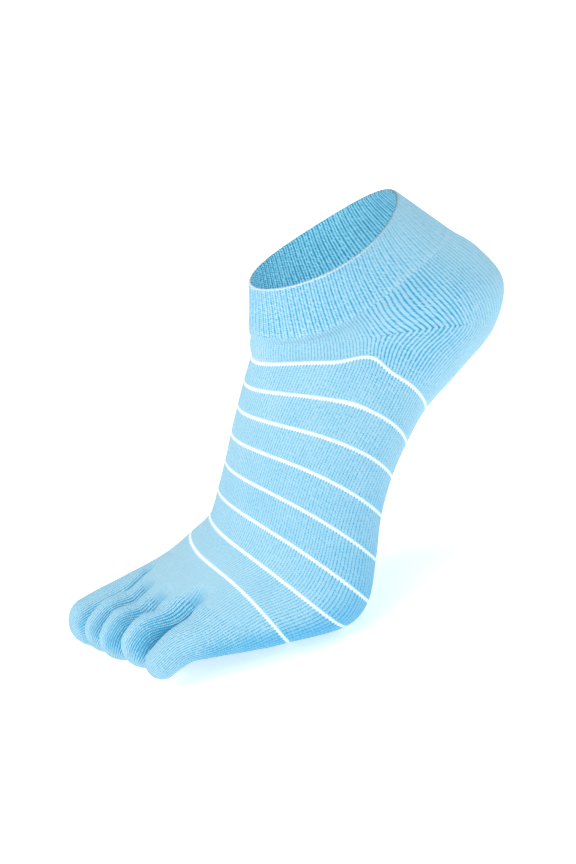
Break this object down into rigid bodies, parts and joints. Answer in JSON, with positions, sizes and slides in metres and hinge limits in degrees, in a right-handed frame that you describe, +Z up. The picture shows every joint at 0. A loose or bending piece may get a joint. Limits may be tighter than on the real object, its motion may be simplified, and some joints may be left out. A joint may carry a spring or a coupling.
{
  "type": "toe sock",
  "caption": "Low-cut knitted toe sock for a left foot, filled out as worn on tiptoe, with ribbed cuff, turned heel pocket and separate toes.",
  "frame": {"origin": "centre of the ankle opening, at the middle of the cuff's edge", "axes": "-X towards the toes, +X towards the heel, +Y towards the big toe side, +Z up, the ball of the foot lowest"},
  "size_m": [0.2147, 0.0876, 0.1729],
  "materials": {
    "knit_tube": "fine plain knit, light blue with thin white stripes",
    "knit_cuff": "ribbed knit, light blue",
    "knit_heel": "plain knit, light blue",
    "knit_toe": "fine plain knit, light blue"
  },
  "bodies": {
    "root": {"cuff": "knit_cuff", "instep": "knit_tube", "midfoot": "knit_tube", "forefoot": "knit_tube", "heel_pocket": "knit_heel", "toe_big": "knit_toe", "toe_second": "knit_toe", "toe_third": "knit_toe", "toe_fourth": "knit_toe", "toe_little": "knit_toe"}
  },
  "joints": []
}
